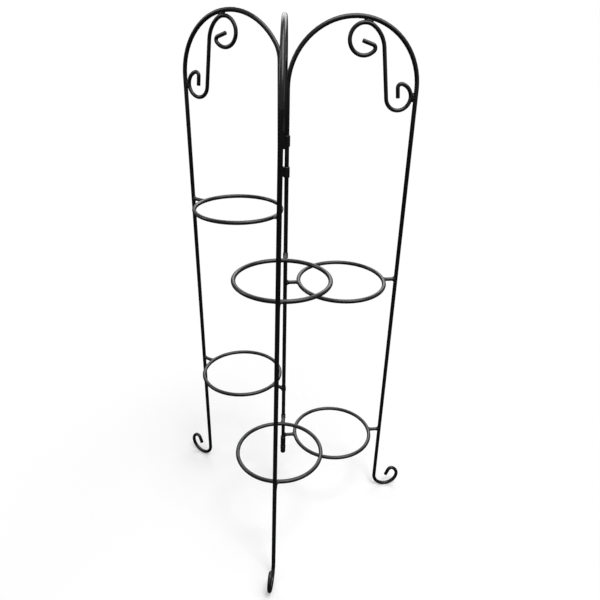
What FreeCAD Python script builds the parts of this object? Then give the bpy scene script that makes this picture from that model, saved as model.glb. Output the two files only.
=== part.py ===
import FreeCAD
import Part
import math
import os

# A tall plant stand: three arched wire panels that share one upright pole. Each panel holds two
# pot rings, stepped round the pole, and an S-shaped scroll under its arch. The right panel's own
# rod is the pole. The left and front panels turn about it on short sleeves and ferrules.
# Millimetres, +Z up, floor at z = 0. Every panel is drawn in its own plane, with x measured
# outwards from the pole, then turned to its azimuth. The origin ends on the floor at the middle
# of the plan outline.

# rods
rod_d = 7.9             # frame wire and pot rings
stub_d = 7.4            # short bars between a ring and its uprights
scroll_d = 7.0          # S-scroll wire
tip_round = 0.9         # rounding of each cut wire end

# frame wire
panel_w = 224.0         # pole axis to the outer leg's axis
spring_z = 919.0        # height where the right leg turns into the arch
left_spring_z = 922.8   # the left wire's arch is a little taller
front_spring_z = 917.1  # and the front wire's a little lower
foot_r = 27.8           # half round under the leg
foot_curl_r = 22.0      # return curl of the foot
foot_curl_turn = 55.0
foot_hook_r = 8.0       # last tight hook
foot_hook_turn = 105.0
foot_tip = 16.0         # straight end of the foot scroll
front_foot_turn = -6.2  # degrees, the front foot is bent a little out of its wire's plane
foot_flat = 0.3         # worn flat where each foot bears on the floor
pole_end_z = 127.0      # lower end of the pole, above the floor

# pot rings
ring_side = 27.0        # pole axis, or outer leg's axis, to the ring's centre line
left_upper_z = 688.0
left_lower_z = 303.0
front_upper_z = 616.2
front_lower_z = 227.8
right_upper_z = 558.0
right_lower_z = 174.6
right_upper_tilt = 2.2  # degrees, this ring is welded slightly turned on its bars

# panel directions, degrees anticlockwise from +X
left_az = 148.6
front_az = -91.6
right_az = 7.6

# turning panels: where the inner upright stands beside the pole
left_web_gap = 5.4      # sleeve to the upright, bridged by the web
left_rod_end_z = 679.0
front_web_gap = 0.45    # the same before the front wire is set over
front_rod_end_z = 820.0
front_frame_turn = 2.03 # the front wire is set over, so its upright passes beside the pole
left_lean = 0.44        # degrees, the left wire leans outwards in its own plane
left_lean_z = 296.0     # height that keeps its place
front_lean = 0.49       # degrees, the front wire leans sideways
front_lean_z = 508.0
shoulder_at = 145.0     # place on the arch where it tightens towards the inner upright

# sleeves and ferrules on the pole
running_gap = 0.05      # radial clearance of a turning sleeve
sleeve_wall = 1.6
ferrule_wall = 0.9
sleeve_h = 19.0
ferrule_h = 9.6
left_sleeve_z = 767.5   # lower edge
front_sleeve_z = 822.5
web_t = 5.0             # thickness of the web between a sleeve and its upright
end_gap = 0.3           # end sleeve to the lower ring's bar above it
end_collar_h = 8.8      # three pieces on the pole's lower end: sleeve, collar and cap
end_cap_h = 11.6
end_cap_floor = 3.0     # solid part of the cap under the pole
end_cap_round = 3.2
end_collar_step = 0.35
edge_break = 0.5

# S-scroll, from its upper tip to its lower tip
scroll_panel_w = 224.0   # panel width that these sizes are for, they grow with panel_w
scroll_arch_gap = 0.54    # scroll to the arch, filled by a weld
scroll_leg_gap = 1.65     # scroll to the outer leg, filled by a weld
scroll_heading = -18.7
scroll_tip = 19.2
scroll_hook_r = 5.8
scroll_hook_turn = 116.9
scroll_loop_r = 24.9
scroll_loop_turn = 211.4
scroll_fall_r = 25.2
scroll_fall_turn = 48.4
scroll_ease_r = 48.6
scroll_ease_turn = 47.2
scroll_stem = 81.3
scroll_low_r = 21.8
scroll_low_turn = 168.2
scroll_close_r = 22.5
scroll_close_turn = 80.0
scroll_end_hook_r = 6.1
scroll_end_hook_turn = 110.6
scroll_end = 17.0
weld_r = 7.0            # weld pads between the scroll and the frame wire
weld_t = 5.2

rod_r = rod_d / 2
stub_r = stub_d / 2
scroll_r = scroll_d / 2
arch_r = panel_w / 2
foot_z = rod_r - foot_flat + foot_r
bore_r = rod_r + running_gap
sleeve_r = bore_r + sleeve_wall
left_slope = math.tan(math.radians(left_lean))
front_slope = math.tan(math.radians(front_lean))
left_rod_x = sleeve_r + left_web_gap + rod_r - (left_sleeve_z + sleeve_h / 2 - left_lean_z) * left_slope
front_rod_x = sleeve_r + front_web_gap + rod_r
ring_r = arch_r - ring_side
ferrule_r = bore_r + ferrule_wall


def vec(x, z):
    return FreeCAD.Vector(x, 0, z)


def path(start, heading, steps):
    """Edges of a bent wire: ("line", length) or ("arc", radius, turn), a positive turn goes left."""
    x, z = start
    angle = math.radians(heading)
    edges = []
    for step in steps:
        if step[0] == "line":
            nx = x + step[1] * math.cos(angle)
            nz = z + step[1] * math.sin(angle)
            edges.append(Part.LineSegment(vec(x, z), vec(nx, nz)).toShape())
        else:
            side = 1 if step[2] > 0 else -1
            cx = x - side * step[1] * math.sin(angle)
            cz = z + side * step[1] * math.cos(angle)
            place = angle - side * math.pi / 2
            turn = math.radians(step[2])
            mid = vec(cx + step[1] * math.cos(place + turn / 2),
                      cz + step[1] * math.sin(place + turn / 2))
            nx = cx + step[1] * math.cos(place + turn)
            nz = cz + step[1] * math.sin(place + turn)
            edges.append(Part.Arc(vec(x, z), mid, vec(nx, nz)).toShape())
            angle += turn
        x, z = nx, nz
    return edges


def bent_rod(start, heading, steps, radius, bend=None, bend_turn=0.0):
    """A round wire along the path, its two cut ends slightly rounded. From the edge numbered bend
    on it is turned about the upright line of the edge before."""
    edges = path(start, heading, steps)
    if bend:
        for edge in edges[bend:]:
            edge.rotate(edges[bend - 1].Vertexes[-1].Point, FreeCAD.Vector(0, 0, 1), bend_turn)
    angle = math.radians(heading)
    ring = Part.makeCircle(radius, vec(*start), vec(math.cos(angle), math.sin(angle)))
    solid = Part.Wire(edges).makePipeShell([Part.Wire([ring])], True, False)
    length = sum(e.Length for e in edges)
    tips = (vec(*start), edges[-1].Vertexes[-1].Point)
    rims = [e for e in solid.Edges
            if any((e.CenterOfMass - tip).Length < 0.01 for tip in tips)]
    print("wire %.1f long, volume ratio %.4f" % (length, solid.Volume / (math.pi * radius ** 2 * length)))
    return solid.makeFillet(tip_round, rims)


def post(x, z0, z1, radius, y=0.0):
    return Part.makeCylinder(radius, z1 - z0, FreeCAD.Vector(x, y, z0))


def bar(x0, x1, z, radius):
    return Part.makeCylinder(radius, x1 - x0, vec(x0, z), FreeCAD.Vector(1, 0, 0))


def tube(z0, height, outer, inner):
    return post(0, z0, z0 + height, outer).cut(post(0, z0 - 1, z0 + height + 1, inner))


def soften(solid, size):
    """Break the outer rims of a turned piece."""
    reach = max(e.Curve.Radius for e in solid.Edges if hasattr(e.Curve, "Radius"))
    rims = [e for e in solid.Edges
            if hasattr(e.Curve, "Radius") and abs(e.Curve.Radius - reach) < 1e-4 and e.isClosed()]
    return solid.makeChamfer(size, rims)


def frame_wire(rod_x, rod_end_z, spring_z, foot_turn):
    """Inner upright, arch, outer leg and foot scroll, one wire in the plane y = 0."""
    if rod_x > 0:
        share = 1 + math.cos(math.radians(shoulder_at))
        tight_r = arch_r - rod_x / share
        rise = (arch_r - tight_r) * math.sin(math.radians(shoulder_at))
        top = [("line", spring_z + rise - rod_end_z),
               ("arc", tight_r, shoulder_at - 180),
               ("arc", arch_r, -shoulder_at)]
    else:
        top = [("line", spring_z - rod_end_z), ("arc", arch_r, -180)]
    steps = top + [("line", spring_z - foot_z),
                   ("arc", foot_r, 180),
                   ("arc", foot_curl_r, foot_curl_turn),
                   ("arc", foot_hook_r, foot_hook_turn),
                   ("line", foot_tip)]
    return bent_rod((rod_x, rod_end_z), 90, steps, rod_r, len(top) + 1, foot_turn)


def stand_up(pieces, turn, lean, side_lean, lean_z):
    """Turn a panel's wire, scroll and welds about the leg, lean them, and stand the wire on its foot."""
    foot = FreeCAD.Vector(panel_w, 0, lean_z)
    for piece in pieces:
        piece.rotate(foot, FreeCAD.Vector(0, 0, 1), turn)
        piece.rotate(foot, FreeCAD.Vector(0, 1, 0), lean)
        piece.rotate(foot, FreeCAD.Vector(1, 0, 0), -side_lean)
    drop = FreeCAD.Vector(0, 0, -foot_flat - pieces[0].optimalBoundingBox().ZMin)
    for piece in pieces:
        piece.translate(drop)
    below = Part.makeBox(4 * panel_w, 8 * rod_d, rod_d, FreeCAD.Vector(-panel_w, -4 * rod_d, -rod_d))
    return [pieces[0].cut(below)] + list(pieces[1:])


def scroll_wire(spring_z):
    steps = [("line", scroll_tip),
             ("arc", scroll_hook_r, -scroll_hook_turn),
             ("arc", scroll_loop_r, -scroll_loop_turn),
             ("arc", scroll_fall_r, -scroll_fall_turn),
             ("arc", scroll_ease_r, -scroll_ease_turn),
             ("line", scroll_stem),
             ("arc", scroll_low_r, scroll_low_turn),
             ("arc", scroll_close_r, scroll_close_turn),
             ("arc", scroll_end_hook_r, scroll_end_hook_turn),
             ("line", scroll_end)]
    size = panel_w / scroll_panel_w
    steps = [(step[0], step[1] * size) + step[2:] for step in steps]
    start = scroll_place(path((0, 0), scroll_heading, steps), spring_z)
    print("scroll starts at %.3f %.3f" % start)
    return bent_rod(start, scroll_heading, steps, scroll_r), path(start, scroll_heading, steps)


def scroll_place(edges, spring_z):
    """Where the scroll starts, so that its loop and its low bend keep their gaps to the frame wire."""
    loop, low = edges[2].Curve, edges[6].BoundBox
    x = panel_w - rod_r - scroll_leg_gap - scroll_r - low.XMax
    reach = arch_r - rod_r - scroll_arch_gap - scroll_r - loop.Radius
    return x, spring_z + math.sqrt(reach ** 2 - (loop.Center.x + x - arch_r) ** 2) - loop.Center.z


def weld_pads(wire, scroll, edges, spring_z):
    """Two weld pads fill the gaps between the scroll and the arch, and the scroll and the leg."""
    loop = edges[2].Curve
    arch = vec(arch_r, spring_z)
    away = (loop.Center - arch).normalize()
    inner = loop.Center + away * (loop.Radius + scroll_r)
    outer = arch + away * (arch_r - rod_r)
    print("scroll to arch %.4f mm" % ((outer - inner).dot(away)))
    low = edges[6].BoundBox
    side = vec((low.XMax + scroll_r + panel_w - rod_r) / 2, edges[6].Curve.Center.z)
    print("scroll to leg %.4f mm" % (panel_w - rod_r - low.XMax - scroll_r))
    pads = []
    for middle in ((inner + outer) / 2, side):
        pad = Part.makeCylinder(weld_r, weld_t, middle - FreeCAD.Vector(0, weld_t / 2, 0),
                                FreeCAD.Vector(0, 1, 0))
        pad = pad.cut(wire).cut(scroll)
        pads.append(max(pad.Solids, key=lambda s: s.Volume))
    return Part.makeCompound(pads)


def pot_ring(z, tilt):
    ring = Part.makeTorus(ring_r, rod_r, vec(panel_w / 2, z), FreeCAD.Vector(0, 0, 1))
    ring.rotate(vec(panel_w / 2, z), FreeCAD.Vector(1, 0, 0), tilt)
    return ring


def ring_stubs(z, ring, inner_x, meets, wire, leg_x):
    """Inner and outer bars, coped to the ring and to the round piece each one meets."""
    inner = bar(inner_x, panel_w / 2 - ring_r, z, stub_r).cut(meets).cut(ring)
    outer = bar(panel_w / 2 + ring_r, leg_x, z, stub_r).cut(ring).cut(wire)
    pick = []
    for piece, near in ((inner, panel_w / 2 - ring_r - rod_d), (outer, panel_w / 2 + ring_r + rod_d)):
        pick.append(min(piece.Solids, key=lambda s: abs(s.CenterOfMass.x - near)))
    return pick


def web(x, y, z0, height, outer, wire):
    """Flat web from a sleeve to the upright at x, y, hollowed to both."""
    reach = math.hypot(x, y)
    block = Part.makeBox(reach, web_t, height, FreeCAD.Vector(0, -web_t / 2, z0))
    block.rotate(FreeCAD.Vector(0, 0, 0), FreeCAD.Vector(0, 0, 1), math.degrees(math.atan2(y, x)))
    block = block.cut(post(0, z0 - 1, z0 + height + 1, outer)).cut(wire)
    return min(block.Solids, key=lambda s: abs(s.CenterOfMass.Length - reach / 2))


nodes = {}


def keep(panel, name, shape, azimuth):
    turned = shape.copy()
    turned.rotate(FreeCAD.Vector(0, 0, 0), FreeCAD.Vector(0, 0, 1), azimuth)
    nodes[panel + "_" + name] = turned


def build_panel(panel, azimuth, spring_z, rods, rings, turn=0.0, lean=0.0, side_lean=0.0, lean_z=0.0,
                foot_turn=0.0):
    """One panel: its wire, scroll and welds, then two rings with their bars. Returns the wire."""
    wire = frame_wire(rods[0], rods[1], spring_z, foot_turn)
    scroll, edges = scroll_wire(spring_z)
    welds = weld_pads(wire, scroll, edges, spring_z)
    wire, scroll, welds = stand_up((wire, scroll, welds), turn, lean, side_lean, lean_z)
    keep(panel, "frame_wire", wire, azimuth)
    keep(panel, "s_scroll", scroll, azimuth)
    keep(panel, "scroll_welds", welds, azimuth)
    for level, z, inner_x, inner_r, tilt in rings:
        # the ring points at the place where the leg is at its height
        leg_x = panel_w + (z - lean_z) * math.tan(math.radians(lean))
        leg_y = (z - lean_z) * math.tan(math.radians(side_lean))
        swing = math.degrees(math.atan2(leg_y, leg_x))
        aside = wire.copy()
        aside.rotate(FreeCAD.Vector(0, 0, 0), FreeCAD.Vector(0, 0, 1), -swing)
        meets = post(inner_x, z - rod_d, z + rod_d, inner_r) if inner_r else aside
        ring = pot_ring(z, tilt)
        inner, outer = ring_stubs(z, ring, inner_x, meets, aside, math.hypot(leg_x, leg_y))
        keep(panel, level + "_ring", ring, azimuth + swing)
        keep(panel, level + "_inner_stub", inner, azimuth + swing)
        keep(panel, level + "_outer_stub", outer, azimuth + swing)
    return wire


# right panel: its upright is the pole itself
build_panel("right", right_az, spring_z, (0, pole_end_z),
            (("upper", right_upper_z, 0, rod_r, right_upper_tilt), ("lower", right_lower_z, 0, rod_r, 0)))
cap_z = pole_end_z - end_cap_floor
cap = post(0, cap_z, cap_z + end_cap_h, sleeve_r)
cap = cap.makeFillet(end_cap_round, [e for e in cap.Edges if e.isClosed() and e.BoundBox.ZMax < cap_z + 0.1])
cap = cap.cut(post(0, pole_end_z, cap_z + end_cap_h + 1, rod_r))
collar_z = cap_z + end_cap_h
end_sleeve_z = collar_z + end_collar_h
end_sleeve_h = right_lower_z - stub_r - end_gap - end_sleeve_z
keep("pole", "end_cap", cap, 0)
keep("pole", "end_collar", soften(tube(collar_z, end_collar_h, sleeve_r + end_collar_step, rod_r), edge_break), 0)
keep("pole", "end_sleeve", soften(tube(end_sleeve_z, end_sleeve_h, sleeve_r, rod_r), edge_break), 0)

# left panel: upright beside the pole down to the upper ring, one sleeve and one ferrule
left_wire = build_panel("left", left_az, left_spring_z, (left_rod_x, left_rod_end_z),
                        (("upper", left_upper_z, left_rod_x + (left_upper_z - left_lean_z) * left_slope, 0, 0),
                         ("lower", left_lower_z, 0, ferrule_r, 0)), lean=left_lean, lean_z=left_lean_z)
left_web_x = sleeve_r + left_web_gap + rod_r
keep("left", "hinge_sleeve", soften(tube(left_sleeve_z, sleeve_h, sleeve_r, bore_r), edge_break), left_az)
keep("left", "hinge_web", web(left_web_x, 0, left_sleeve_z + edge_break, sleeve_h - 2 * edge_break,
                              sleeve_r, left_wire), left_az)
keep("left", "lower_ferrule", tube(left_lower_z - ferrule_h / 2, ferrule_h, ferrule_r, bore_r), left_az)

# front panel: its upright is set over beside the pole and ends at its own sleeve
front_wire = build_panel("front", front_az, front_spring_z, (front_rod_x, front_rod_end_z),
                         (("upper", front_upper_z, 0, ferrule_r, 0), ("lower", front_lower_z, 0, ferrule_r, 0)),
                         turn=front_frame_turn, side_lean=front_lean, lean_z=front_lean_z,
                         foot_turn=front_foot_turn)
over = math.radians(front_frame_turn)
front_web_x = panel_w - (panel_w - front_rod_x) * math.cos(over)
front_web_y = ((front_sleeve_z + sleeve_h / 2 - front_lean_z) * front_slope
               - (panel_w - front_rod_x) * math.sin(over))
keep("front", "hinge_sleeve", soften(tube(front_sleeve_z, sleeve_h, sleeve_r, bore_r), edge_break), front_az)
keep("front", "hinge_web", web(front_web_x, front_web_y, front_sleeve_z + edge_break,
                               sleeve_h - 2 * edge_break, sleeve_r, front_wire), front_az)
for level, z in (("upper", front_upper_z), ("lower", front_lower_z)):
    keep("front", level + "_ferrule", tube(z - ferrule_h / 2, ferrule_h, ferrule_r, bore_r), front_az)

# move the origin to the middle of the plan outline
outline = Part.makeCompound(list(nodes.values())).optimalBoundingBox()
shift = FreeCAD.Vector(-outline.Center.x, -outline.Center.y, 0)
print("pole at %.3f %.3f, floor %.4f, height %.3f" % (shift.x, shift.y, outline.ZMin, outline.ZMax))
print("size %.2f x %.2f" % (outline.XLength, outline.YLength))

os.makedirs("parts", exist_ok=True)
for name, shape in nodes.items():
    shape.translate(shift)
    if not shape.isValid():
        print("not valid:", name)
    print("%-26s solids %d volume %.1f" % (name, len(shape.Solids), shape.Volume))
    shape.exportStep("parts/%s.step" % name)
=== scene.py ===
import math
import bpy
import numpy as np
from mathutils import Matrix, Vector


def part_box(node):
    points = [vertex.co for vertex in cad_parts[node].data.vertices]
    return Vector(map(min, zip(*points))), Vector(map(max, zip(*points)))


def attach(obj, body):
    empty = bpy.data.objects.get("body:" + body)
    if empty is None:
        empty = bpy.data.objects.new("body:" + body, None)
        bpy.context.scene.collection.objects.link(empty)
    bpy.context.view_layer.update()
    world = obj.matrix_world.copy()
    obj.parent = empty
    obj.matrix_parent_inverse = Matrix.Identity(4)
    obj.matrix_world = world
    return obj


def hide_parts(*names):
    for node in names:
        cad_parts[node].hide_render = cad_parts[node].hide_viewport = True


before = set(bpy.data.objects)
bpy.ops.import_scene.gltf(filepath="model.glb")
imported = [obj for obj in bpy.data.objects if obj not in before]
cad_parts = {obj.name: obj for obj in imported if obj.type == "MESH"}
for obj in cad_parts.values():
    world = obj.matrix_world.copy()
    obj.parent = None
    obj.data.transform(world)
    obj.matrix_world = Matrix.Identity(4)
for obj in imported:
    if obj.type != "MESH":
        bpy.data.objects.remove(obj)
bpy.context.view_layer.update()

# Plant stand of black painted wire. The rods, rings and scrolls are the CAD nodes with their own
# finishes. The weld beads are new pieces. Lengths are in metres.
mm = 0.001

# distances from the pole to an outer leg and to the left panel's own upright, then the radii of the
# round pieces, the ring's to its centre line
stand = {
    "panelWidth": 224 * mm, "uprightGap": 14.27 * mm,
    "rod": 3.95 * mm, "stub": 3.7 * mm, "ferrule": 4.9 * mm, "ring": 85 * mm,
}

# what an inner stub meets: its distance from the pole and its radius
onPole = (0, stand["rod"])
onFerrule = (0, stand["ferrule"])
onUpright = (stand["uprightGap"], stand["rod"])

# each panel: direction from the pole in degrees, ring heights, what its inner stubs meet, how many degrees
# its leg leans, outwards or sideways, and the height where the leaning leg is the panel's width away
panels = {
    "right": {"azimuth": 7.6, "upper": 558 * mm, "lower": 174.6 * mm, "body": "right_panel",
              "upperPost": onPole, "lowerPost": onPole,
              "lean": 0, "sideLean": 0, "leanHeight": 0},
    "left": {"azimuth": 148.6, "upper": 688 * mm, "lower": 303 * mm, "body": "left_panel",
             "upperPost": onUpright, "lowerPost": onFerrule,
             "lean": 0.44, "sideLean": 0, "leanHeight": 296 * mm},
    "front": {"azimuth": -91.6, "upper": 616.2 * mm, "lower": 227.8 * mm, "body": "front_panel",
              "upperPost": onFerrule, "lowerPost": onFerrule,
              "lean": 0, "sideLean": 0.49, "leanHeight": 508 * mm},
}

collarLow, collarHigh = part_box("pole_end_collar")
pole = np.array([(collarLow.x + collarHigh.x) / 2, (collarLow.y + collarHigh.y) / 2, 0])


# The outer leg's distance from the pole at a height, and how far the panel swings to meet it.
def legAt(facts, height):
    above = height - facts["leanHeight"]
    out = stand["panelWidth"] + above * math.tan(math.radians(facts["lean"]))
    across = above * math.tan(math.radians(facts["sideLean"]))
    return math.hypot(out, across), math.degrees(math.atan2(across, out))


# Panel coordinates turned to the panel's azimuth about the pole: x outwards, y across, z up.
def onPanel(facts, points, swing):
    angle = math.radians(facts["azimuth"] + swing)
    turn = np.array([[math.cos(angle), -math.sin(angle), 0],
                     [math.sin(angle), math.cos(angle), 0],
                     [0, 0, 1]])
    return points @ turn.T + pole


# One object from closed shells. A shell is rows of points round an axis, and two end points.
def addShells(name, shells, material, body):
    verts, quads, tris, start = [], [], [], 0
    for rings, first, last in shells:
        rows, cols = rings.shape[:2]
        index = start + np.arange(rows * cols).reshape(rows, cols)
        right = np.roll(index, -1, axis=1)
        side = np.stack([index[:-1], right[:-1], right[1:], index[1:]], axis=-1).reshape(-1, 4)
        firstAt, lastAt = start + rows * cols, start + rows * cols + 1
        firstFan = np.stack([np.full(cols, firstAt), right[0], index[0]], axis=-1)
        lastFan = np.stack([np.full(cols, lastAt), index[-1], right[-1]], axis=-1)
        points = np.concatenate([rings.reshape(-1, 3), first[None], last[None]])
        # volume under all triangles, as a sum of signed tetrahedra, says which way the faces point
        corners = np.concatenate([side[:, [0, 1, 2]], side[:, [0, 2, 3]], firstFan, lastFan]) - start
        a, b, c = (points[corners[:, k]] for k in range(3))
        if np.einsum("ij,ij->i", a, np.cross(b, c)).sum() < 0:
            side, firstFan, lastFan = side[:, ::-1], firstFan[:, ::-1], lastFan[:, ::-1]
        verts.append(points)
        quads.append(side)
        tris += [firstFan, lastFan]
        start += len(points)
    mesh = bpy.data.meshes.new(name)
    mesh.from_pydata(np.concatenate(verts).tolist(), [],
                     np.concatenate(quads).tolist() + np.concatenate(tris).tolist())
    mesh.polygons.foreach_set("use_smooth", np.ones(len(mesh.polygons), dtype=bool))
    mesh.materials.append(material)
    mesh.update()
    piece = bpy.data.objects.new(name, mesh)
    bpy.context.scene.collection.objects.link(piece)
    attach(piece, body)
    return piece


# Links a socket to another node's output, or sets it to a number or a colour.
def feed(tree, socket, value):
    if hasattr(value, "links"):
        tree.links.new(value, socket)
    else:
        socket.default_value = (*value, 1) if isinstance(value, tuple) else value


def mathNode(tree, operation, a, b, clamp=False):
    node = tree.nodes.new("ShaderNodeMath")
    node.operation = operation
    node.use_clamp = clamp
    feed(tree, node.inputs[0], a)
    feed(tree, node.inputs[1], b)
    return node.outputs[0]


# How far a value rises above a floor, times a gain, kept between 0 and 1.
def riseAbove(tree, value, floor, gain):
    rise = mathNode(tree, "SUBTRACT", value, floor, clamp=True)
    return mathNode(tree, "MULTIPLY", rise, gain, clamp=True)


def noiseNode(tree, coords, scale, detail, rough):
    node = tree.nodes.new("ShaderNodeTexNoise")
    tree.links.new(coords, node.inputs["Vector"])
    feed(tree, node.inputs["Scale"], scale)
    node.inputs["Detail"].default_value = detail
    node.inputs["Roughness"].default_value = rough
    return node.outputs["Fac"]


# The first colour where the factor is 0, the second where it is 1.
def mixColour(tree, factor, first, second):
    node = tree.nodes.new("ShaderNodeMix")
    node.data_type = "RGBA"
    tree.links.new(factor, node.inputs["Factor"])
    feed(tree, node.inputs[6], first)    # inputs 6 and 7 and output 2 are the node's colours
    feed(tree, node.inputs[7], second)
    return node.outputs[2]


def mixShader(tree, factor, first, second):
    node = tree.nodes.new("ShaderNodeMixShader")
    for socket, source in zip(node.inputs, (factor, first, second)):
        tree.links.new(source, socket)
    return node.outputs[0]


def objectCoords(tree):
    return tree.nodes.new("ShaderNodeTexCoord").outputs["Object"]


def cameraRay(tree):
    return tree.nodes.new("ShaderNodeLightPath").outputs["Is Camera Ray"]


# A shader node group with float inputs and one float output.
def newGroup(name, inputs, output):
    group = bpy.data.node_groups.new(name, "ShaderNodeTree")
    for label, value in inputs.items():
        socket = group.interface.new_socket(label, in_out="INPUT", socket_type="NodeSocketFloat")
        socket.default_value = value
    group.interface.new_socket(output, in_out="OUTPUT", socket_type="NodeSocketFloat")
    return group, group.nodes.new("NodeGroupInput").outputs, group.nodes.new("NodeGroupOutput").inputs


# every size and scale in these effects is a noise scale: the larger it is, the finer the pattern
paintSkin = {
    "inputs": {"Peel Size": 700, "Peel Depth": 0.3, "Wave Size": 45, "Wave Depth": 0.6,
               "Speck Depth": 0.2},
    "peel": {"detail": 1.5, "rough": 0.5}, "wave": {"detail": 2.0, "rough": 0.4},
    "speck": {"scale": 1900, "detail": 0.0, "rough": 0.5}, "speckFloor": 0.72, "speckGain": 5,
}


# Height of sprayed paint: fine orange peel, slow waves of a drawn rod, and a few specks.
def makePaintSkin():
    group, given, out = newGroup("paintSkin", paintSkin["inputs"], "Height")
    coords = objectCoords(group)
    peel = noiseNode(group, coords, given["Peel Size"], **paintSkin["peel"])
    wave = noiseNode(group, coords, given["Wave Size"], **paintSkin["wave"])
    speck = noiseNode(group, coords, **paintSkin["speck"])
    speck = riseAbove(group, speck, paintSkin["speckFloor"], paintSkin["speckGain"])
    height = mathNode(group, "ADD", mathNode(group, "MULTIPLY", peel, given["Peel Depth"]),
                      mathNode(group, "MULTIPLY", wave, given["Wave Depth"]))
    height = mathNode(group, "ADD", height, mathNode(group, "MULTIPLY", speck, given["Speck Depth"]))
    group.links.new(height, out["Height"])
    return group


# thin dust on faces turned upwards, which also paints a highlight there: the tops come out lighter
dustAndTopHighlightMask = {
    "inputs": {"Amount": 0.3, "Patch Size": 60}, "upFloor": 0.25, "upGain": 1.33, "gain": 4,
    "patch": {"detail": 3.0, "rough": 0.6}, "grit": {"scale": 1400, "detail": 2.0, "rough": 0.7},
}


# Mask of thin dust that is also a painted highlight on the tops: patches that lie on faces turned upwards.
def makeDustAndTopHighlightMask():
    group, given, out = newGroup("dustAndTopHighlightMask", dustAndTopHighlightMask["inputs"], "Mask")
    coords = objectCoords(group)
    normal = group.nodes.new("ShaderNodeNewGeometry").outputs["Normal"]
    split = group.nodes.new("ShaderNodeSeparateXYZ")
    group.links.new(normal, split.inputs[0])
    upward = riseAbove(group, split.outputs["Z"], dustAndTopHighlightMask["upFloor"], dustAndTopHighlightMask["upGain"])
    patch = noiseNode(group, coords, given["Patch Size"], **dustAndTopHighlightMask["patch"])
    grit = noiseNode(group, coords, **dustAndTopHighlightMask["grit"])
    mask = mathNode(group, "MULTIPLY", upward, mathNode(group, "MULTIPLY", patch, grit))
    amount = mathNode(group, "MULTIPLY", given["Amount"], dustAndTopHighlightMask["gain"])
    group.links.new(mathNode(group, "MULTIPLY", mask, amount, clamp=True), out["Mask"])
    return group


handlingRub = {
    "inputs": {"Amount": 0.5, "Patch Size": 18},
    "patch": {"detail": 3.0, "rough": 0.6}, "patchFloor": 0.48, "patchGain": 5,
    "scratch": {"scale": 520, "detail": 4.0, "rough": 0.75}, "scratchFloor": 0.45, "scratchGain": 6,
}


# Mask of paint polished or scuffed by handling: long soft patches broken by fine scratches.
def makeHandlingRub():
    group, given, out = newGroup("handlingRub", handlingRub["inputs"], "Mask")
    coords = objectCoords(group)
    patch = noiseNode(group, coords, given["Patch Size"], **handlingRub["patch"])
    patch = riseAbove(group, patch, handlingRub["patchFloor"], handlingRub["patchGain"])
    scratch = noiseNode(group, coords, **handlingRub["scratch"])
    scratch = riseAbove(group, scratch, handlingRub["scratchFloor"], handlingRub["scratchGain"])
    mask = mathNode(group, "MULTIPLY", patch, scratch)
    group.links.new(mathNode(group, "MULTIPLY", mask, given["Amount"], clamp=True), out["Mask"])
    return group


groups = {"skin": makePaintSkin(), "topDustAndHighlight": makeDustAndTopHighlightMask(), "rub": makeHandlingRub()}


# A group in a material with the finish's own values for it.
def placeGroup(tree, group, finish):
    node = tree.nodes.new("ShaderNodeGroup")
    node.node_tree = groups[group]
    for label, value in finish[group].items():
        node.inputs[label].default_value = value
    return node.outputs[0]


# Black enamel: its colour, gloss and skin vary with dust on top and rubbed patches; the lighter colour on
# the tops is partly a painted highlight.
def blackPaint(name, finish):
    material = bpy.data.materials.new(name)
    material.use_nodes = True
    tree = material.node_tree
    paint = tree.nodes["Principled BSDF"]
    skin, topDustAndHighlight, rub = (placeGroup(tree, group, finish) for group in ("skin", "topDustAndHighlight", "rub"))
    cloudy = noiseNode(tree, objectCoords(tree), finish["cloudSize"], **finish["cloud"])
    colour = mixColour(tree, cloudy, finish["dark"], finish["light"])
    colour = mixColour(tree, rub, colour, finish["rubbed"])
    # faces turned upwards get the lighter colour: thin dust and a painted highlight on the tops
    colour = mixColour(tree, topDustAndHighlight, colour, finish["topDustAndHighlightColour"])
    tree.links.new(colour, paint.inputs["Base Color"])
    low, high = finish["rough"]
    rough = mathNode(tree, "ADD", mathNode(tree, "MULTIPLY", cloudy, high - low), low)
    rough = mathNode(tree, "SUBTRACT", rough, mathNode(tree, "MULTIPLY", rub, finish["rubGloss"]))
    dustRough = mathNode(tree, "MULTIPLY", topDustAndHighlight, finish["dustRough"])
    rough = mathNode(tree, "ADD", rough, dustRough, clamp=True)
    tree.links.new(rough, paint.inputs["Roughness"])
    paint.inputs["Specular IOR Level"].default_value = finish["specular"]
    bump = tree.nodes.new("ShaderNodeBump")
    bump.inputs["Strength"].default_value = finish["bump"]
    bump.inputs["Distance"].default_value = finish["relief"]
    tree.links.new(skin, bump.inputs["Height"])
    tree.links.new(bump.outputs["Normal"], paint.inputs["Normal"])
    return material


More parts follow.
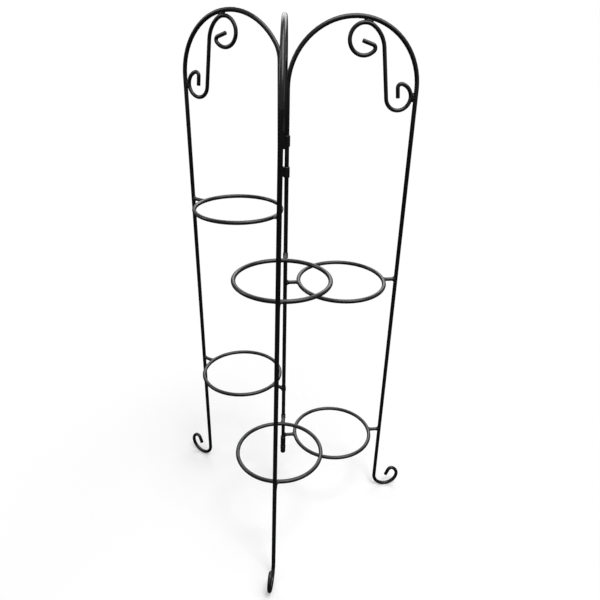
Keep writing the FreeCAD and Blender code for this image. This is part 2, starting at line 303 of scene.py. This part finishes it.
rodFinish = {
    "dark": (0.0022, 0.0022, 0.0024), "light": (0.0048, 0.0048, 0.0052),
    # the second colour on this line lightens faces turned upwards: thin dust and a painted highlight on
    # the tops
    "rubbed": (0.011, 0.011, 0.012), "topDustAndHighlightColour": (0.06, 0.06, 0.062),
    "cloudSize": 38, "cloud": {"detail": 3.0, "rough": 0.55},
    "rough": (0.15, 0.28), "rubGloss": 0.08, "dustRough": 0.3, "specular": 0.85,
    "skin": {"Peel Size": 620, "Peel Depth": 0.35, "Wave Size": 42, "Wave Depth": 0.9,
             "Speck Depth": 0.25},
    "topDustAndHighlight": {"Amount": 0.22, "Patch Size": 55}, "rub": {"Amount": 0.5, "Patch Size": 16},
    "bump": 0.2, "relief": 0.5 * mm,
}
paints = {
    "frame_paint": blackPaint("satinBlackRod", rodFinish),
    # the rings get more of the dust and painted top highlight than the rods
    "ring_paint": blackPaint("satinBlackRing", {
        **rodFinish, "rough": (0.12, 0.24), "cloudSize": 30,
        "topDustAndHighlight": {"Amount": 0.4, "Patch Size": 48}, "rub": {"Amount": 0.7, "Patch Size": 24}}),
    "hinge_paint": blackPaint("glossBlackHinge", {
        **rodFinish, "rough": (0.18, 0.34), "cloudSize": 90, "specular": 0.9,
        "rub": {"Amount": 0.9, "Patch Size": 60}}),
    "weld_paint": blackPaint("thickBlackWeld", {
        **rodFinish, "rough": (0.30, 0.5), "cloudSize": 160, "bump": 0.8, "relief": 0.8 * mm,
        "skin": {"Peel Size": 900, "Peel Depth": 0.5, "Wave Size": 260, "Wave Depth": 1.0,
                 "Speck Depth": 0.5}}),
}
print("paints made:", len(paints))

hingeParts = ("sleeve", "web", "ferrule", "collar", "cap")
for name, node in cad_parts.items():
    slot = ("weld_paint" if name.endswith("welds") else
            "ring_paint" if name.endswith(("_ring", "_stub")) else
            "hinge_paint" if any(part in name for part in hingeParts) else
            "frame_paint")
    for holder in node.material_slots:
        holder.material = paints[slot]
print("nodes painted:", len(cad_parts))

# a foot's width and height and the fit are shares of the bar's radius, the skirt and close sizes are
# shares of the row beside them, and each sine of the lumps has its count round the bar, its share of
# the seed and its weight
stubBeads = {
    "length": 4.2 * mm, "postFoot": (1.02, 1.75), "ringFoot": (2.0, 1.03), "hollow": 2.0, "fit": 1.02,
    "skirtSize": 0.9, "skirtDepth": 1.2 * mm, "closeSize": 0.7, "closeDepth": 0.2 * mm,
    "lump": 0.07, "lumps": ((3, 1, 0.5), (5, 2.3, 0.3), (9, 3.1, 0.2)), "rows": 12, "around": 36,
}
seeds = {"first": 0.7, "bar": 1.37, "ringFoot": 0.6, "panel": 1.1, "lowerPad": 2}  # start and steps


# A weld fillet round a bar. Its radius falls from the foot to the bar by a power of the distance along
# the bar, its foot follows the round piece it meets by drop(across, up), and sines round the bar make
# it lumpy. A skirt sinks into that piece, and a smaller last row closes it on the bar.
def fillet(start, way, foot, drop, seed):
    values = stubBeads
    along = np.linspace(0, 1, values["rows"])[:, None]
    angle = np.linspace(0, 2 * math.pi, values["around"], endpoint=False)[None, :]
    lumps = values["lump"] * sum(weight * np.sin(count * angle + share * seed)
                                 for count, share, weight in values["lumps"])
    fall = (1 - along) ** values["hollow"]
    wide, high = foot
    across = stand["stub"] * (values["fit"] + (wide - 1) * fall) * np.cos(angle) * (1 + lumps * fall)
    up = stand["stub"] * (values["fit"] + (high - 1) * fall) * np.sin(angle) * (1 + lumps * fall)
    reach = values["length"] * along * (1 + 2 * lumps) - drop(across, up)
    small, tiny = values["skirtSize"], values["closeSize"]
    skirt = (across[:1] * small, up[:1] * small, reach[:1] - values["skirtDepth"])
    close = (across[-1:] * tiny, up[-1:] * tiny, reach[-1:] + values["closeDepth"])
    across, up, reach = (np.concatenate(parts) for parts in zip(skirt, (across, up, reach), close))
    rings = start + np.stack([way * reach, across, up], axis=-1)
    first = start + np.array([way * reach[0].mean(), 0, 0])
    last = start + np.array([way * reach[-1].mean(), 0, 0])
    return rings, first, last


# How far a round bar's surface falls away at a distance from its crest.
def roundDrop(radius, distance):
    return radius - np.sqrt(np.maximum(radius ** 2 - distance ** 2, 0))


# The drop on a post's round section.
def postDrop(radius):
    return lambda across, up: roundDrop(radius, across)


# The drop on the ring: over its rod's round section, and along its bend.
def ringDrop(across, up):
    return roundDrop(stand["rod"], up) + across ** 2 / (2 * (stand["ring"] + stand["rod"]))


# Both bars of a ring: for each, where its post and its ring start along the panel, the way from there
# along the bar, and the post's radius. The swing turns the panel to where its leg is at that height.
def barsAt(facts, level):
    postX, postRadius = facts[level + "Post"]
    legDistance, swing = legAt(facts, facts[level])
    middle = stand["panelWidth"] / 2
    reach = stand["ring"] + stand["rod"]
    return swing, {
        "inner": ((postX + postRadius, 1), (middle - reach, -1), postRadius),
        "outer": ((legDistance - stand["rod"], -1), (middle + reach, 1), stand["rod"]),
    }


seed = seeds["first"]
for panel, facts in panels.items():
    for level in ("upper", "lower"):
        z = facts[level]
        swing, bars = barsAt(facts, level)
        for side, ((postX, postWay), (ringX, ringWay), postRadius) in bars.items():
            seed += seeds["bar"]
            shells = [
                fillet(np.array([postX, 0, z]), postWay, stubBeads["postFoot"],
                       postDrop(postRadius), seed),
                fillet(np.array([ringX, 0, z]), ringWay, stubBeads["ringFoot"], ringDrop,
                       seed + seeds["ringFoot"]),
            ]
            shells = [tuple(onPanel(facts, part, swing) for part in shell) for shell in shells]
            addShells(f"{panel}_{level}_{side}_beads", shells, paints["weld_paint"],
                      facts["body"])
print("stub beads made")

# each sine of the sides has its counts round and along the bead, its share of the seed and its weight
scrollBeads = {
    "halfLength": 8.0 * mm, "halfWidth": 2.9 * mm, "halfDepth": 3.2 * mm, "blunt": 0.8, "tip": 0.04,
    "ripples": 5, "ripple": 0.07, "slant": 0.9, "sides": ((2, 0, 1, 0.06), (3, 4, 2, 0.05)),
    "rows": 28, "around": 28,
}


# A weld bead along a pad's longest direction: an ellipsoid with blunt ends, whose radius swells and
# shrinks in slanting ripples along its length and leans to one side by slow sines.
def scrollBead(corners, seed):
    values = scrollBeads
    middle = (corners.min(0) + corners.max(0)) / 2
    lengthWay, depthWay, widthWay = np.linalg.svd(corners - corners.mean(0), full_matrices=False)[2]
    along = np.linspace(values["tip"], 1 - values["tip"], values["rows"])[:, None]
    angle = np.linspace(0, 2 * math.pi, values["around"], endpoint=False)[None, :]
    ripples = 2 * math.pi * values["ripples"] * along + seed + values["slant"] * np.cos(angle)
    sides = sum((weight * np.sin(turns * angle + waves * along + share * seed)
                 for turns, waves, share, weight in values["sides"]), 1)
    wave = (1 + values["ripple"] * np.sin(ripples)) * sides
    thick = np.sin(math.pi * along) ** values["blunt"]
    length = -values["halfLength"] * np.cos(math.pi * along) * np.ones_like(angle)
    depth = values["halfDepth"] * thick * np.cos(angle) * wave
    width = values["halfWidth"] * thick * np.sin(angle) * wave
    rings = middle + sum(size[..., None] * way for size, way in
                         ((length, lengthWay), (width, widthWay), (depth, depthWay)))
    tip = values["halfLength"] * lengthWay
    return rings, middle - tip, middle + tip


for panel, facts in panels.items():
    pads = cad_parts[panel + "_scroll_welds"]
    corners = np.empty(len(pads.data.vertices) * 3)
    pads.data.vertices.foreach_get("co", corners)
    corners = corners.reshape(-1, 3)
    split = (corners[:, 2].min() + corners[:, 2].max()) / 2
    seed += seeds["panel"]
    shells = [scrollBead(corners[corners[:, 2] > split], seed),
              scrollBead(corners[corners[:, 2] < split], seed + seeds["lowerPad"])]
    bead = addShells(panel + "_scroll_beads", shells, paints["weld_paint"], facts["body"])
    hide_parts(panel + "_scroll_welds")
print("scroll beads made")


# An object's matrix from its own x, y and z directions and its place.
def standAt(axes, place):
    return Matrix([(*row, offset) for row, offset in zip(np.column_stack(axes), place)] + [(0, 0, 0, 1)])


# the tilt and the roll are in degrees, the focal length and the sensor in millimetres
view = {
    "fromPole": (25.7 * mm, -997.2 * mm, 1028 * mm), "down": 26.57, "roll": 1.43,
    "focal": 33.54, "sensor": 36, "shift": (0.0036, -0.0071),
}


# Camera from its tilt and roll. The world's own directions as the camera sees them, each as a share to
# the right, downwards and ahead, are the columns of a table whose rows are the camera's directions.
def placeCamera():
    down, roll = math.radians(view["down"]), math.radians(view["roll"])
    worldUp = np.array([math.sin(roll) * math.cos(down),
                        -math.cos(roll) * math.cos(down),
                        -math.sin(down)])
    worldAhead = np.array([0, 0, 1]) - worldUp[2] * worldUp
    worldAhead /= np.linalg.norm(worldAhead)
    toRight, toBottom, ahead = np.column_stack([np.cross(worldAhead, worldUp), worldAhead, worldUp])
    lens = bpy.data.cameras.new("camera")
    lens.lens = view["focal"]
    lens.sensor_width = view["sensor"]
    lens.shift_x, lens.shift_y = view["shift"]
    camera = bpy.data.objects.new("camera", lens)
    camera.matrix_world = standAt((toRight, -toBottom, -ahead), pole + view["fromPole"])
    bpy.context.scene.collection.objects.link(camera)
    bpy.context.scene.camera = camera


# the camera sees the near floor lifted by its own light, and beyond a distance from the middle it turns
# white; the key lamp draws the shadows, and only the other lamps show in the paint
studio = {
    "floorSize": 14.0, "floorColour": (0.84, 0.84, 0.845), "floorRough": 0.8, "floorSpecular": 0.1,
    "lift": 0.195, "nearTo": 0.38, "farFrom": 0.72,
    "white": (1, 1, 1), "worldLight": 0.24, "floorForLight": (0.05, 0.05, 0.05),
    "lamps": [
        {"name": "topBox", "at": (0.7, -0.75, 2.5), "aim": (0.2, -0.3, 0), "size": (1.9, 2.6),
         "power": 35, "shine": True},
        {"name": "keyBox", "at": (0.47, -0.83, 2.6), "aim": (0, 0, 0.2), "size": (0.5, 0.5),
         "power": 17, "shine": False},
        {"name": "backBox", "at": (0.4, 2.5, 2.3), "aim": (0, 0, 0.7), "size": (3.2, 1.4),
         "power": 36, "shine": True},
        {"name": "leftBox", "at": (-1.9, 0.2, 1.75), "aim": (0, 0, 0.9), "size": (0.5, 0.9),
         "power": 4, "shine": True},
    ],
}


# Pale paint that turns plain white far from the stand. Lamps and reflections meet a darker floor.
def floorMaterial():
    material = bpy.data.materials.new("paleFloor")
    material.use_nodes = True
    tree = material.node_tree
    paint = tree.nodes["Principled BSDF"]
    feed(tree, paint.inputs["Base Color"], studio["floorColour"])
    feed(tree, paint.inputs["Roughness"], studio["floorRough"])
    feed(tree, paint.inputs["Specular IOR Level"], studio["floorSpecular"])
    lift = tree.nodes.new("ShaderNodeEmission")
    feed(tree, lift.inputs["Strength"], studio["lift"])
    near = tree.nodes.new("ShaderNodeAddShader")
    tree.links.new(paint.outputs[0], near.inputs[0])
    tree.links.new(lift.outputs[0], near.inputs[1])
    distance = tree.nodes.new("ShaderNodeVectorMath")
    distance.operation = "LENGTH"
    tree.links.new(objectCoords(tree), distance.inputs[0])
    far = tree.nodes.new("ShaderNodeMapRange")
    far.interpolation_type = "SMOOTHSTEP"
    feed(tree, far.inputs["From Min"], studio["nearTo"])
    feed(tree, far.inputs["From Max"], studio["farFrom"])
    feed(tree, far.inputs["Value"], distance.outputs["Value"])
    white = tree.nodes.new("ShaderNodeEmission")
    feed(tree, white.inputs["Color"], studio["white"])
    forCamera = mixShader(tree, far.outputs["Result"], near.outputs[0], white.outputs[0])
    forLight = tree.nodes.new("ShaderNodeBsdfDiffuse")
    feed(tree, forLight.inputs["Color"], studio["floorForLight"])
    surface = mixShader(tree, cameraRay(tree), forLight.outputs[0], forCamera)
    tree.links.new(surface, tree.nodes["Material Output"].inputs["Surface"])
    return material


def layFloor():
    half = studio["floorSize"] / 2
    mesh = bpy.data.meshes.new("floor")
    mesh.from_pydata([(-half, -half, 0), (half, -half, 0), (half, half, 0), (-half, half, 0)], [],
                     [(0, 1, 2, 3)])
    floor = bpy.data.objects.new("floor", mesh)
    bpy.context.scene.collection.objects.link(floor)
    mesh.materials.append(floorMaterial())


def hangLamps():
    for facts in studio["lamps"]:
        lamp = bpy.data.lights.new(facts["name"], "AREA")
        lamp.shape = "RECTANGLE"
        lamp.size, lamp.size_y = facts["size"]
        lamp.energy = facts["power"]
        holder = bpy.data.objects.new(facts["name"], lamp)
        ahead = np.subtract(facts["aim"], facts["at"])
        ahead /= np.linalg.norm(ahead)
        across = np.cross(ahead, [0, 0, 1])
        across /= np.linalg.norm(across)
        holder.matrix_world = standAt((across, np.cross(across, ahead), -ahead), facts["at"])
        holder.visible_glossy = facts["shine"]
        bpy.context.scene.collection.objects.link(holder)


# White behind everything for the camera, and a plain grey glow as light.
def lightWorld():
    world = bpy.data.worlds.new("studio")
    bpy.context.scene.world = world
    world.use_nodes = True
    tree = world.node_tree
    glow = tree.nodes["Background"]
    feed(tree, glow.inputs["Color"], studio["white"])
    feed(tree, glow.inputs["Strength"], studio["worldLight"])
    backdrop = tree.nodes.new("ShaderNodeBackground")
    feed(tree, backdrop.inputs["Color"], studio["white"])
    look = mixShader(tree, cameraRay(tree), glow.outputs[0], backdrop.outputs[0])
    tree.links.new(look, tree.nodes["World Output"].inputs["Surface"])


placeCamera()
layFloor()
hangLamps()
lightWorld()
bpy.context.scene.view_settings.view_transform = "Standard"
print("studio ready")
